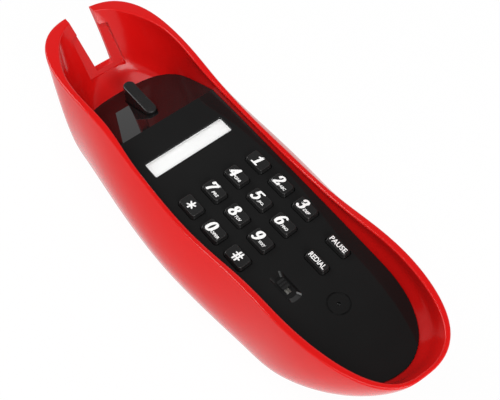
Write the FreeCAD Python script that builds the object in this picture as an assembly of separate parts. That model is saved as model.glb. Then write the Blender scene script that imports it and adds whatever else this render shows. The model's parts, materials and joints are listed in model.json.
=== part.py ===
import FreeCAD, Part
import math
import os

# Shoe-shaped telephone handset lying on its back, key panel up.
# Millimetres. While modelling, x runs from heel to toe with zero at the middle of the dial keys,
# y runs across and z is the height above the flat of the key panel.
# On export everything moves so that the origin is on the rest plane, under the middle of the box.

# Shoe hull, outside
REST_DEPTH = 48.0          # flat of the panel down to the topline that the handset lies on
WIDE_DEPTH = 16.0          # flat of the panel down to the widest line of the shoe
PARTING_DEPTH = 31.0       # flat of the panel down to the joint between the two shells
RIM_LEVEL = 17.0           # height at which the rim widths below are taken
TOE_RIM_X = 95.7           # toe tip at the rim, before rounding
TOE_TUCK = 31.0            # tuck of the toe from the rim to the topline
TOE_TUCK_CURVE = 1.4       # power of that tuck, so that the toe drops steeply from the rim
VAMP_RISE = 30.0           # further tuck that rounds the vamp towards the throat
HEEL_TOPLINE_X = 103.0     # heel end at the topline
HEEL_LEAN = 24.0           # how far the heel rim leans out past the topline
HEEL_RIM_Z = 13.7          # rim height at the heel, where the lean is taken
HEEL_CURVE = 2.34          # power of the heel's lean
HEEL_STATION = -85.0       # where the heel is widest
RIM_HALF = (27.8, 15.4, 26.9)      # half widths at heel, waist and ball, at the rim level
WIDE_HALF = (32.4, 38.0, 33.0)     # half widths at the widest line
TOPLINE_HALF = (26.0, 26.0, 23.0)  # half widths at the topline
SIDE_CURVE = 2.0           # power of the draw-in from the widest line to the rim
BALL_SETBACK = 48.0        # ball behind the toe tip at the rim
BALL_SETBACK_LOSS = 20.0   # how much less that is at the topline
WAIST_FORWARD = 9.0        # waist in front of the middle between heel and ball
HEEL_FULLNESS = 2.8        # squareness of the heel end in plan, at the rim
HEEL_FULLNESS_LOSS = 0.5   # how much rounder the heel is at the topline
TOE_FULLNESS = 2.6         # squareness of the toe end in plan, at the rim
TOE_FULLNESS_LOSS = 0.9    # how much rounder the toe is at the topline
TOE_LOSS_CURVE = 0.6       # power of that loss, so that most of it comes just under the rim
WALL = 2.8                 # wall of the two shells
VAMP_WALL = 1.6            # vertical wall of the vamp
FLOOR = 2.0                # floor between the works and the foot opening
LIP_ROUND = 0.7            # rounding of the rim
TOPLINE_ROUND = 0.8        # rounding of the topline

# Steps along the plan outline from the toe tip to the heel tip, as shares of one side
SIDE_STEPS = (0.038, 0.046, 0.068, 0.093, 0.233, 0.308, 0.076, 0.054, 0.042, 0.042)

# Rim height along the shoe: (x, height above the flat)
RIM_LINE = ((-140.0, 14.6), (-112.0, 14.2), (-86.0, 13.8), (-65.0, 12.2), (-47.0, 8.2), (-30.0, 6.1),
            (-5.0, 5.3), (15.0, 8.0), (35.0, 12.0), (55.0, 15.2), (76.0, 17.2), (110.0, 18.0))

# Well that holds the key panel, and the heel cup
CREASE_X = -59.8           # where the flat of the panel ends
SLOPE = math.radians(23.0)  # slope of the panel down into the heel cup
FLAT_WALL = (4.0, 5.8, 6.3)        # side walls at the height of the flat: heel, waist and ball
LIP_WALL = (3.1, 2.4, 3.0)         # side walls at the rim
LIP_Z = (13.8, 5.3, 13.5)          # heights from which these are taken
TOE_WALL = 3.1             # toe wall at the height of the flat
TOE_WALL_LEAN = 0.35       # lean of the toe's inner wall, per millimetre of height
CUP_WALL = 3.6             # heel wall behind the cup
CUP_BOWL_Z = -7.4          # height under which the cup rounds in
CUP_BOWL = 0.085           # rounding of the cup's bottom
CUP_STATION = (-85.0, -70.0)   # where the cup is widest, at the rim and at its bottom
CUP_FULLNESS = (2.0, 2.3)      # squareness of the cup in plan, at the rim and at its bottom
CUP_BOTTOM_Z = -17.0       # bottom of the cup
PANEL_THICK = 2.5
PANEL_FIT = 0.15           # gap round the panel
LEDGE = 1.6                # width of the ledge under the panel
LEDGE_THICK = 2.0
LEDGE_GAP = 0.04           # gap between the panel and its ledge

# Notch in the heel
NOTCH_RIM_HALF = 6.4
NOTCH_BOTTOM_HALF = 4.5
NOTCH_BOTTOM_Z = -7.4
STRIP_HALF = 9.8           # half width of the flat strip round the notch
STRIP_SINK = 0.35          # depth of the flat strip in the heel wall
STRIP_TOP_DROP = 4.6       # rim of the heel down to the top of the strip
STRIP_FOOT = 1.8           # bottom of the notch down to the bottom of the strip

# Dial keys
PITCH_X = 15.0
PITCH_Y = 11.8
KEY_LENGTH = 10.6
KEY_WIDTH = 6.9
KEY_CORNER = 1.3
KEY_DRAFT = 0.5            # how much each side draws in towards the top
KEY_RISE = 2.0             # height of a key above the flat
KEY_GAP = 0.3              # gap between a key and its hole
KEY_FLANGE = 0.8           # width of the flange that keeps a key in
KEY_FLANGE_THICK = 1.0
KEY_FLANGE_DROP = 0.3      # gap between the flange and the underside of the panel
KEY_TRAVEL = 1.0
KEY_EDGE = 0.35            # rounding of a key's top edge

# Function keys and slide switch
FUNCTION_X = 36.0
PAUSE_Y = 16.4
REDIAL_Y = 5.2
FUNCTION_LENGTH = 11.0
FUNCTION_WIDTH = 4.8
SLIDER_Y = -11.0
SCOOP_LENGTH = 14.0
SCOOP_WIDTH = 6.0
SCOOP_DEPTH = 1.1
SLIDER_TRAVEL = 3.0
SLIDER_LENGTH = 4.2
SLIDER_WIDTH = 3.4
SLIDER_RISE = 1.0          # height of the slider above the bottom of the scoop
SLIDER_STEM = 1.8          # thickness of the slider's stem
SLIDER_GAP = 0.3
SLIDER_CORNER = 0.5
SLIDER_LIFT = 0.15         # gap between the slider and the bottom of the scoop
SLIDER_RIDGES = 3
SLIDER_GROOVE = 0.35       # depth of the grooves between the ridges
SLIDER_REACH = 1.2         # stem above the board
SWITCH_WALL = 2.0          # walls of the slide switch beside the stem's travel
SWITCH_FLOOR = 0.8         # its floor
SWITCH_GAP = 0.2           # gap between the slide switch and the panel

# Microphone port
MIC_X = 54.0
MIC_RING_OUT = 4.9         # outer radius of the ring groove
MIC_RING_IN = 4.2
MIC_RING_DEPTH = 0.5
MIC_HOLE = 0.7             # radius of the sound hole

# Label window
LABEL_X = -40.6
LABEL_LENGTH = 40.4        # across the phone
LABEL_WIDTH = 8.2
LABEL_CARD_THICK = 0.3
LABEL_COVER_THICK = 0.5
LABEL_SINK = 0.8           # flat of the panel down to the cover
LABEL_BEVEL = 0.35         # bevel round the window
LABEL_GAP = 0.15
LABEL_CORNER = 0.5

# Hook plunger
PLUNGER_X = -78.6
PLUNGER_LENGTH = 22.4
PLUNGER_WIDTH = 5.8
PLUNGER_TOP = -1.8         # top of the plunger, level with the flat
PLUNGER_FOOT = -20.0       # bottom of the plunger
PLUNGER_FLANGE = 1.2
PLUNGER_GAP = 0.4
PLUNGER_TRAVEL = 4.5
PLUNGER_EDGE = 0.6
SPRING_OUTER = 1.9         # outer radius of the hook spring
SPRING_WIRE = 0.25         # radius of its wire
SPRING_TURNS = 9
SPRING_BORE = 2.1          # radius of the bore in the plunger
SPRING_BORE_TOP = -6.5
TONGUE_LENGTH = 3.0        # tongue that works the hook switch
TONGUE_WIDTH = 2.4
TONGUE_FOOT = -26.2
TONGUE_AHEAD = 6.5         # tongue in front of the spring
HOOK_BODY_TOP = -25.0
HOOK_BODY_LENGTH = 20.0
HOOK_BODY_WIDTH = 9.0
SPRING_POST_GAP = 0.3      # gap between the spring and the post in it
SPRING_POST = 3.0          # height of that post

# Works under the panel
MAT_THICK = 1.2
MAT_DOME = 1.25            # height of a dome over the mat
MAT_DOME_RADIUS = 2.6
MAT_DOME_GAP = 0.1         # gap between a dome and its key
MAT_MARGIN = 5.5           # mat beyond the outer key centres
BOARD_THICK = 1.6
CHIP_LENGTH = 24.0
CHIP_WIDTH = 8.0
CHIP_THICK = 3.6
CHIP_LEGS = 9              # on each side
CHIP_LEG_PITCH = 2.54
CHIP_LEG_WIDTH = 0.5
CHIP_STANDOFF = 0.6
TRANSFORMER_X = 38.4
TRANSFORMER_Y = 0.0
TRANSFORMER_LENGTH = 16.0
TRANSFORMER_WIDTH = 14.0
TRANSFORMER_HEIGHT = 11.0
COIL_LENGTH = 11.0
COIL_WIDTH = 20.0
COIL_MARGIN = 2.0          # core above and below the coil
CAPACITOR_PLACES = ((-22.0, 12.0), (-22.0, -12.0), (18.0, 16.0))
CAPACITOR_RADIUS = 3.1
CAPACITOR_HEIGHT = 11.0
CAPACITOR_ROUND = 0.5
BOARD_HEEL_X = -30.0
BOARD_TOE_X = 47.0
BOARD_MARGIN = 1.9         # board inside the ledge
BOARD_POST_X = (-26.6, 43.6)
BOARD_POST_INSET = 2.2     # board posts inside the board's edge
BOARD_POST_RADIUS = 2.0
CASE_POST_PLACES = ((-50.0, 15.0), (-50.0, -15.0), (25.5, 8.5), (25.5, -8.5))
CASE_POST_RADIUS = 3.0
CASE_POST_GAP = 0.4        # gap round the case posts in the board and the mat
SCREW_RADIUS = 1.4         # shank of the case screws
SCREW_HEAD_RADIUS = 2.7
SCREW_HEAD_THICK = 1.5
SCREW_CROSS = 1.6          # reach of the cross in a case screw's head
SCREW_CROSS_HALF = 0.3     # half its width
SCREW_CROSS_DEPTH = 0.75
SCREW_BITE = 12.0          # how far a case screw goes into its post
SCREW_HOLE_GAP = 0.2
BOARD_SCREW_RADIUS = 0.9
BOARD_SCREW_HEAD = 1.7
BOARD_SCREW_HEAD_THICK = 1.1
BOARD_SCREW_BITE = 3.0
BOARD_SCREW_GAP = 0.1      # gap round a board screw in the board
RECEIVER_X = -79.0
RECEIVER_Y = -16.6
RECEIVER_RADIUS = 7.5
RECEIVER_THICK = 6.0
MAGNET_RADIUS = 4.1        # magnet behind the receiver
MAGNET_THICK = 2.0
GASKET_THICK = 0.8
GASKET_WALL = 1.2
CLAMP_WALL = 1.0           # skirt of the ring that clamps the receiver
CLAMP_CAP = 1.2
CLAMP_GAP = 0.1
CLAMP_LIP = 1.9            # how far the clamp's cap reaches over the receiver
SOUND_SLOTS_Y = (-22.2, -21.0, -19.8)
SOUND_SLOT_LENGTH = 6.0
SOUND_SLOT_WIDTH = 0.7
CAPSULE_RADIUS = 3.0
BOOT_WALL = 1.2
BOOT_FACE = 0.5            # boot in front of the capsule
BOOT_BACK = 1.2            # boot behind the capsule
CAPSULE_THICK = 2.7
SOUNDER_X = 4.0
SOUNDER_RADIUS = 13.0
SOUNDER_THICK = 5.5
SOUNDER_HOLE = 1.0         # radius of the ringer's sound holes
SOUNDER_HOLE_RING = 5.0
SOUNDER_HOLES = 6
SOUNDER_CHAMBER = 2.0      # depth of the ringer's open chamber
JACK_LENGTH = 11.5
JACK_WIDTH = 12.0
JACK_HEIGHT = 10.6
JACK_MOUTH_X = -103.6      # mouth of the line jack, just inside the heel wall
JACK_WALL = 1.4            # jack body under its plug cavity
JACK_CAVITY = 10.0         # depth of the plug cavity
JACK_CAVITY_WIDTH = 9.7
JACK_CAVITY_HEIGHT = 6.7
JACK_GAP = 0.2
INSOLE_THICK = 1.4
INSOLE_GAP = 0.8           # gap between the insole and the wall of the foot opening

# Reach of the cutting blocks past the shoe, and past the face that they open
FAR = 160.0
CLEAR = 1.0

panel_underside = -PANEL_THICK
board_top = panel_underside - KEY_FLANGE_DROP - KEY_FLANGE_THICK - MAT_DOME - MAT_THICK
board_bottom = board_top - BOARD_THICK
floor_top = -PARTING_DEPTH
floor_bottom = floor_top - FLOOR
jack_top = floor_top + JACK_HEIGHT


def vector(x, y, z):
    return FreeCAD.Vector(x, y, z)


def block(x_low, x_high, y_low, y_high, z_low, z_high):
    return Part.makeBox(x_high - x_low, y_high - y_low, z_high - z_low, vector(x_low, y_low, z_low))


def disc(x, y, z_low, z_high, radius):
    return Part.makeCylinder(radius, z_high - z_low, vector(x, y, z_low))


def polygon_prism(points, direction):
    wire = Part.makePolygon(list(points) + [points[0]])
    return Part.Face(wire).extrude(direction)


def rounded_rectangle(x, y, length, width, corner, z):
    """Closed wire of a rectangle with rounded corners, long side along x."""
    half_x = 0.5 * length
    half_y = 0.5 * width
    diagonal = corner * (1.0 - math.sqrt(0.5))
    edges = []
    start = vector(x + half_x, y - half_y + corner, z)
    for side_x, side_y in ((1, 1), (-1, 1), (-1, -1), (1, -1)):
        along_x = vector(x + side_x * (half_x - corner), y + side_y * half_y, z)
        along_y = vector(x + side_x * half_x, y + side_y * (half_y - corner), z)
        middle = vector(x + side_x * (half_x - diagonal), y + side_y * (half_y - diagonal), z)
        first, last = (along_y, along_x) if side_x * side_y > 0 else (along_x, along_y)
        if start.distanceToPoint(first) > 1e-6:
            edges.append(Part.LineSegment(start, first).toShape())
        edges.append(Part.Arc(first, middle, last).toShape())
        start = last
    closing = vector(x + half_x, y - half_y + corner, z)
    if start.distanceToPoint(closing) > 1e-6:
        edges.append(Part.LineSegment(start, closing).toShape())
    return Part.Wire(edges)


def rounded_block(x, y, length, width, corner, z_low, z_high, draw_in=0.0):
    """Upright block with rounded corners, its top smaller by draw_in on every side."""
    low = rounded_rectangle(x, y, length, width, corner, z_low)
    if draw_in == 0.0:
        return Part.Face(low).extrude(vector(0, 0, z_high - z_low))
    high = rounded_rectangle(x, y, length - 2 * draw_in, width - 2 * draw_in, corner - 0.5 * draw_in, z_high)
    return Part.makeLoft([low, high], True, True)


def stadium(x, length, width, z_low, z_high):
    return rounded_block(x, 0.0, length, width, 0.5 * width - 0.01, z_low, z_high)


def mix(first, second, share):
    return first + (second - first) * share


def end_points(station, tip, half, fullness):
    """Points of a rounded end from the widest place towards the tip, on one side."""
    points = []
    for angle in (math.radians(28.0), math.radians(56.0), math.radians(76.0)):
        along = math.sin(angle) ** (2.0 / fullness)
        across = math.cos(angle) ** (2.0 / fullness)
        points.append((station + (tip - station) * along, half * across))
    return points


def outline(z, shares, heel_tip, heel_station, heel_half, heel_full, waist, ball_station, ball_half, toe_tip,
            toe_full):
    """Closed smooth plan outline of a shoe at height z, mirrored about the middle.

    shares places the points along the curve, the same at every height so that the lofts run smoothly.
    """
    waist_station, waist_half = waist
    side = list(reversed(end_points(ball_station, toe_tip, ball_half, toe_full)))
    side += [(ball_station, ball_half), (waist_station, waist_half), (heel_station, heel_half)]
    side += end_points(heel_station, heel_tip, heel_half, heel_full)
    points = [vector(toe_tip, 0, z)]
    points += [vector(x, y, z) for x, y in side]
    points.append(vector(heel_tip, 0, z))
    points += [vector(x, -y, z) for x, y in reversed(side)]
    curve = Part.BSplineCurve()
    curve.interpolate(Points=points, PeriodicFlag=True, Parameters=shares)
    return Part.Wire([curve.toShape()])


def heel_tip_at(z):
    share = (z + REST_DEPTH) / (HEEL_RIM_Z + REST_DEPTH)
    return -HEEL_TOPLINE_X - HEEL_LEAN * max(share, 0.0) ** HEEL_CURVE


def toe_share_at(z):
    return (RIM_LEVEL - z) / (RIM_LEVEL + REST_DEPTH)


def toe_tip_at(z):
    share = max(toe_share_at(z), 0.0)
    return TOE_RIM_X - TOE_TUCK * share ** TOE_TUCK_CURVE - VAMP_RISE * share ** 5


def hull_half_at(z, place):
    """Half width of the hull at height z: place 0 is the heel, 1 the waist and 2 the ball."""
    wide = WIDE_HALF[place]
    if z >= -WIDE_DEPTH:
        share = (z + WIDE_DEPTH) / (RIM_LEVEL + WIDE_DEPTH)
        return wide - (wide - RIM_HALF[place]) * share ** SIDE_CURVE
    share = (-WIDE_DEPTH - z) / (REST_DEPTH - WIDE_DEPTH)
    return wide - (wide - TOPLINE_HALF[place]) * share ** 2


def stations_at(z):
    """Where the waist is narrowest and the ball is widest at height z."""
    ball_station = toe_tip_at(z) - BALL_SETBACK + BALL_SETBACK_LOSS * toe_share_at(z)
    return 0.5 * (HEEL_STATION + ball_station) + WAIST_FORWARD, ball_station


def toe_fullness_at(z):
    return TOE_FULLNESS - TOE_FULLNESS_LOSS * max(toe_share_at(z), 0.0) ** TOE_LOSS_CURVE


def well_half_at(z, place):
    """Half width of the well at height z: the hull's, less a wall that thins from the flat to the rim."""
    level = max(z, 0.0)
    below_lip = max(1.0 - level / LIP_Z[place], 0.0)
    wall = mix(LIP_WALL[place], FLAT_WALL[place], below_lip ** 2)
    return hull_half_at(level, place) - wall


def hull_outline(z, inset=0.0, sink=0.0):
    """Plan outline of the hull at height z, drawn in by inset and taken from sink further down."""
    level = z - sink
    waist_station, ball_station = stations_at(level)
    waist = (waist_station, hull_half_at(level, 1) - inset)
    heel_full = HEEL_FULLNESS - HEEL_FULLNESS_LOSS * toe_share_at(level)
    heel_half = hull_half_at(level, 0) - inset
    ball_half = hull_half_at(level, 2) - inset
    return outline(z, HULL_SHARES, heel_tip_at(level) + inset, HEEL_STATION, heel_half, heel_full,
                   waist, ball_station, ball_half, toe_tip_at(level) - inset, toe_fullness_at(level))


def well_outline(z, inset=0.0):
    """Plan outline of the panel's well and the heel cup at height z."""
    halves = [well_half_at(z, place) - inset for place in range(3)]
    bowl = CUP_BOWL * max(CUP_BOWL_Z - z, 0.0) ** 2
    share = min(max((HEEL_RIM_Z - z) / (HEEL_RIM_Z - CUP_BOTTOM_Z), 0.0), 1.0)
    station = mix(CUP_STATION[0], CUP_STATION[1], share)
    fullness = mix(CUP_FULLNESS[0], CUP_FULLNESS[1], share)
    heel_tip = heel_tip_at(z) + CUP_WALL + bowl + inset
    toe_tip = toe_tip_at(0.0) - TOE_WALL + TOE_WALL_LEAN * max(z, 0.0) - inset
    waist_station, ball_station = stations_at(max(z, 0.0))
    return outline(z, HULL_SHARES, heel_tip, station, halves[0], fullness, (waist_station, halves[1]),
                   ball_station, halves[2], toe_tip, toe_fullness_at(max(z, 0.0)))


def loft(outlines):
    return Part.makeLoft(outlines, True, False)


def hull_solid(inset, sink, levels):
    return loft([hull_outline(z, inset, sink) for z in levels])


def well_solid(inset):
    levels = [CUP_BOTTOM_Z * share for share in (1.24, 0.94, 0.65, 0.35)] + RIM_LEVELS
    return loft([well_outline(z, inset) for z in levels])


def panel_line(depth):
    """Section of the panel, at a depth under its face: from the heel cup over the crease to the toe."""
    crease = CREASE_X + depth * math.tan(0.5 * SLOPE)
    fall = (FAR + crease) * math.tan(SLOPE)
    return [vector(-FAR, -FAR, -depth - fall), vector(crease, -FAR, -depth), vector(FAR, -FAR, -depth)]


def above_panel_line(depth):
    points = panel_line(depth) + [vector(FAR, -FAR, FAR), vector(-FAR, -FAR, FAR)]
    return polygon_prism(points, vector(0, 2 * FAR, 0))


def below_panel_line(depth):
    points = panel_line(depth) + [vector(FAR, -FAR, -2 * FAR), vector(-FAR, -FAR, -2 * FAR)]
    return polygon_prism(points, vector(0, 2 * FAR, 0))


def panel_slab(depth_low, depth_high):
    points = panel_line(depth_low) + list(reversed(panel_line(depth_high)))
    return polygon_prism(points, vector(0, 2 * FAR, 0))


def on_slope(shape, x, y, depth):
    """Place a shape modelled upright at the origin square to the sloping part of the panel."""
    placed = shape.copy()
    placed.rotate(vector(0, 0, 0), vector(0, 1, 0), -math.degrees(SLOPE))
    height = (x - CREASE_X) * math.tan(SLOPE)
    normal = vector(-math.sin(SLOPE), 0, math.cos(SLOPE))
    placed.translate(vector(x, y, height) - normal * depth)
    return placed


def above_rim():
    curve = Part.BSplineCurve()
    points = [vector(x, -FAR, z) for x, z in RIM_LINE]
    curve.interpolate(points)
    top = [vector(points[-1].x, -FAR, FAR), vector(points[0].x, -FAR, FAR)]
    edges = [curve.toShape()]
    edges.append(Part.LineSegment(points[-1], top[0]).toShape())
    edges.append(Part.LineSegment(top[0], top[1]).toShape())
    edges.append(Part.LineSegment(top[1], points[0]).toShape())
    return Part.Face(Part.Wire(edges)).extrude(vector(0, 2 * FAR, 0))


def notch_block():
    """Tapered slot through the heel wall, open at the rim."""
    taper = (NOTCH_RIM_HALF - NOTCH_BOTTOM_HALF) / (HEEL_RIM_Z - NOTCH_BOTTOM_Z)
    top = HEEL_RIM_Z + 3 * RIM_LEVEL
    top_half = NOTCH_BOTTOM_HALF + taper * (top - NOTCH_BOTTOM_Z)
    corners = [(side * NOTCH_BOTTOM_HALF, NOTCH_BOTTOM_Z) for side in (-1, 1)]
    corners += [(side * top_half, top) for side in (1, -1)]
    points = [vector(-FAR, y, z) for y, z in corners]
    return polygon_prism(points, vector(FAR + CREASE_X, 0, 0))


def strip_block():
    """Block whose sloping back face makes the flat strip round the notch."""
    low_x = heel_tip_at(NOTCH_BOTTOM_Z) + CUP_WALL - STRIP_SINK
    high_x = heel_tip_at(HEEL_RIM_Z) + CUP_WALL - STRIP_SINK
    slope = (high_x - low_x) / (HEEL_RIM_Z - NOTCH_BOTTOM_Z)
    top = HEEL_RIM_Z - STRIP_TOP_DROP
    bottom = NOTCH_BOTTOM_Z - STRIP_FOOT
    points = []
    for z in (bottom, top):
        points.append(vector(low_x + slope * (z - NOTCH_BOTTOM_Z), -STRIP_HALF, z))
    points += [vector(CREASE_X, -STRIP_HALF, top), vector(CREASE_X, -STRIP_HALF, bottom)]
    strip = polygon_prism(points, vector(0, 2 * STRIP_HALF, 0))
    return strip.common(above_panel_line(0.0))


def outline_shares():
    """Place of every outline point along the closed curve, from the toe round to the toe again."""
    steps = list(SIDE_STEPS) + list(reversed(SIDE_STEPS))
    shares = [0.0]
    for step in steps:
        shares.append(shares[-1] + step)
    return [share / shares[-1] for share in shares]


HULL_SHARES = outline_shares()
LOWER_LEVELS = [mix(-REST_DEPTH, -PARTING_DEPTH, share) for share in (0.0, 0.24, 0.6, 1.0)]
UPPER_LEVELS = [-WIDE_DEPTH, -0.55 * WIDE_DEPTH, -0.25 * WIDE_DEPTH]
RIM_LEVELS = [RIM_LEVEL * share for share in (0.0, 0.3, 0.6, 0.9, 1.25)]
HULL_LEVELS = LOWER_LEVELS + UPPER_LEVELS + RIM_LEVELS


def make_rim_shell():
    hull = hull_solid(0.0, 0.0, HULL_LEVELS)
    shell = hull.common(block(-FAR, FAR, -FAR, FAR, floor_top, FAR))
    shell = shell.cut(above_rim())
    shell = shell.cut(well_solid(0.0).common(above_panel_line(PANEL_THICK + LEDGE_GAP)))
    shell = round_rim(shell)
    ledge_hole = well_solid(LEDGE).common(above_panel_line(PANEL_THICK + LEDGE_THICK + CLEAR))
    shell = shell.cut(ledge_hole)
    cavity = hull_solid(WALL, 0.0, [floor_top - CLEAR] + UPPER_LEVELS + RIM_LEVELS[:2])
    shell = shell.cut(cavity.common(below_panel_line(PANEL_THICK + LEDGE_THICK)))
    shell = shell.cut(plunger_sweep())
    shell = shell.cut(strip_block())
    shell = shell.cut(notch_block())
    shell = shell.cut(jack_opening())
    return shell


def round_rim(shell):
    """Round both edges of the rim, which is the highest face of the shell."""
    rim_face = max(shell.Faces, key=lambda face: face.CenterOfMass.z)
    return shell.makeFillet(LIP_ROUND, rim_face.Edges)


def jack_opening():
    half = 0.5 * JACK_WIDTH + JACK_GAP
    return block(-FAR, JACK_MOUTH_X + JACK_LENGTH, -half, half, floor_top - CLEAR, jack_top + JACK_GAP)


def make_lower_shell():
    hull = hull_solid(0.0, 0.0, HULL_LEVELS)
    shell = hull.common(block(-FAR, FAR, -FAR, FAR, -FAR, floor_top))
    foot = hull_solid(WALL, VAMP_WALL, [-REST_DEPTH - CLEAR] + LOWER_LEVELS[1:3] + [floor_bottom, floor_top])
    shell = shell.cut(foot.common(block(-FAR, FAR, -FAR, FAR, -FAR, floor_bottom)))
    topline = [edge for edge in shell.Edges if edge.BoundBox.ZMax < 0.01 - REST_DEPTH]
    shell = shell.makeFillet(TOPLINE_ROUND, topline)
    for x, y in CASE_POST_PLACES:
        shell = shell.cut(disc(x, y, floor_bottom - CLEAR, floor_top + CLEAR, SCREW_RADIUS + SCREW_HOLE_GAP))
    for x, y in sounder_holes():
        shell = shell.cut(disc(x, y, floor_bottom - CLEAR, floor_top + CLEAR, SOUNDER_HOLE))
    return shell


def sounder_holes():
    step = 2.0 * math.pi / SOUNDER_HOLES
    return [(SOUNDER_X + SOUNDER_HOLE_RING * math.cos(i * step), SOUNDER_HOLE_RING * math.sin(i * step))
            for i in range(SOUNDER_HOLES)]


def make_insole_pad():
    top = floor_bottom
    rim = hull_outline(-REST_DEPTH, WALL + INSOLE_GAP, VAMP_WALL)
    rim.translate(vector(0, 0, REST_DEPTH + top - INSOLE_THICK))
    pad = Part.Face(rim).extrude(vector(0, 0, INSOLE_THICK))
    for x, y in sounder_holes():
        pad = pad.cut(disc(x, y, top - INSOLE_THICK - CLEAR, top + CLEAR, SOUNDER_HOLE))
    for x, y in CASE_POST_PLACES:
        pocket = disc(x, y, top - SCREW_HEAD_THICK - CLEAR, top + CLEAR, SCREW_HEAD_RADIUS + SCREW_HOLE_GAP)
        pad = pad.cut(pocket)
    return pad


def key_places():
    names = (("1", "2", "3"), ("4", "5", "6"), ("7", "8", "9"), ("star", "0", "hash"))
    places = []
    for row, row_names in enumerate(names):
        for column, name in enumerate(row_names):
            x = (column - 1) * PITCH_X
            y = (1.5 - row) * PITCH_Y
            places.append(("key_" + name, x, y, KEY_LENGTH, KEY_WIDTH))
    places.append(("key_pause", FUNCTION_X, PAUSE_Y, FUNCTION_LENGTH, FUNCTION_WIDTH))
    places.append(("key_redial", FUNCTION_X, REDIAL_Y, FUNCTION_LENGTH, FUNCTION_WIDTH))
    return places


def make_key(x, y, length, width):
    flange_top = panel_underside - KEY_FLANGE_DROP
    flange_bottom = flange_top - KEY_FLANGE_THICK
    cap = rounded_block(x, y, length, width, KEY_CORNER, 0.0, KEY_RISE, KEY_DRAFT)
    top_edges = [edge for edge in cap.Edges if edge.BoundBox.ZMin > KEY_RISE - 0.01]
    cap = cap.makeFillet(KEY_EDGE, top_edges)
    neck = rounded_block(x, y, length, width, KEY_CORNER, flange_bottom, 0.0)
    flange = rounded_block(x, y, length + 2 * KEY_FLANGE, width + 2 * KEY_FLANGE, KEY_CORNER,
                           flange_bottom, flange_top)
    return cap.fuse([neck, flange]).removeSplitter()


def make_key_panel():
    panel = panel_slab(0.0, PANEL_THICK).common(well_solid(PANEL_FIT))
    for _, x, y, length, width in key_places():
        hole = rounded_block(x, y, length + 2 * KEY_GAP, width + 2 * KEY_GAP, KEY_CORNER + KEY_GAP,
                             -PANEL_THICK - CLEAR, CLEAR)
        panel = panel.cut(hole)
    panel = panel.cut(label_recess())
    panel = panel.cut(plunger_well())
    panel = panel.cut(scoop())
    panel = panel.cut(slider_slot())
    ring = disc(MIC_X, 0, -MIC_RING_DEPTH, CLEAR, MIC_RING_OUT).cut(disc(MIC_X, 0, -FAR, FAR, MIC_RING_IN))
    panel = panel.cut(ring)
    panel = panel.cut(disc(MIC_X, 0, -PANEL_THICK - CLEAR, CLEAR, MIC_HOLE))
    for y in SOUND_SLOTS_Y:
        slot = rounded_block(0, 0, SOUND_SLOT_LENGTH, SOUND_SLOT_WIDTH, 0.45 * SOUND_SLOT_WIDTH,
                             -PANEL_THICK - CLEAR, CLEAR)
        panel = panel.cut(on_slope(slot, RECEIVER_X, y, 0.0))
    for x, y in CASE_POST_PLACES:
        post = disc(x, y, floor_top, panel_underside, CASE_POST_RADIUS)
        bore_top = floor_top + SCREW_BITE + 1.0
        panel = panel.fuse(post)
        panel = panel.cut(disc(x, y, floor_top - CLEAR, bore_top, SCREW_RADIUS))
    for x, y in board_posts():
        panel = panel.fuse(disc(x, y, board_top, panel_underside, BOARD_POST_RADIUS))
        bore_top = board_top + BOARD_SCREW_BITE + BOARD_SCREW_GAP
        panel = panel.cut(disc(x, y, board_top - CLEAR, bore_top, BOARD_SCREW_RADIUS))
    return panel.removeSplitter()


def board_posts():
    post_y = board_half() - BOARD_POST_INSET
    return [(x, y) for x in BOARD_POST_X for y in (post_y, -post_y)]


def board_half():
    return well_half_at(0.0, 1) - LEDGE - BOARD_MARGIN


def label_depth():
    return LABEL_SINK + LABEL_CARD_THICK + LABEL_COVER_THICK


def label_recess():
    """Bevelled window for the label."""
    width = LABEL_WIDTH + 2 * LABEL_GAP
    length = LABEL_LENGTH + 2 * LABEL_GAP
    corner = LABEL_CORNER + LABEL_GAP
    window = rounded_block(LABEL_X, 0, width, length, corner, -label_depth(), CLEAR)
    low = rounded_rectangle(LABEL_X, 0, width, length, corner, -LABEL_BEVEL)
    width += 2 * LABEL_BEVEL
    length += 2 * LABEL_BEVEL
    high = rounded_rectangle(LABEL_X, 0, width, length, corner + LABEL_BEVEL, 0.0)
    return window.fuse(Part.makeLoft([low, high], True, True))


def make_label_card():
    return rounded_block(LABEL_X, 0, LABEL_WIDTH, LABEL_LENGTH, LABEL_CORNER,
                         -label_depth(), LABEL_CARD_THICK - label_depth())


def make_label_cover():
    return rounded_block(LABEL_X, 0, LABEL_WIDTH, LABEL_LENGTH, LABEL_CORNER,
                         -LABEL_SINK - LABEL_COVER_THICK, -LABEL_SINK)


def plunger_well():
    return stadium(PLUNGER_X, PLUNGER_LENGTH + 2 * PLUNGER_GAP, PLUNGER_WIDTH + 2 * PLUNGER_GAP, -FAR, FAR)


def plunger_sweep():
    """Room under the panel for the plunger's flange."""
    grip = 2 * (2 * PLUNGER_GAP + PLUNGER_FLANGE)
    room = stadium(PLUNGER_X, PLUNGER_LENGTH + grip, PLUNGER_WIDTH + grip, floor_top, PLUNGER_TOP)
    return room.common(below_panel_line(PANEL_THICK))


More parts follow.
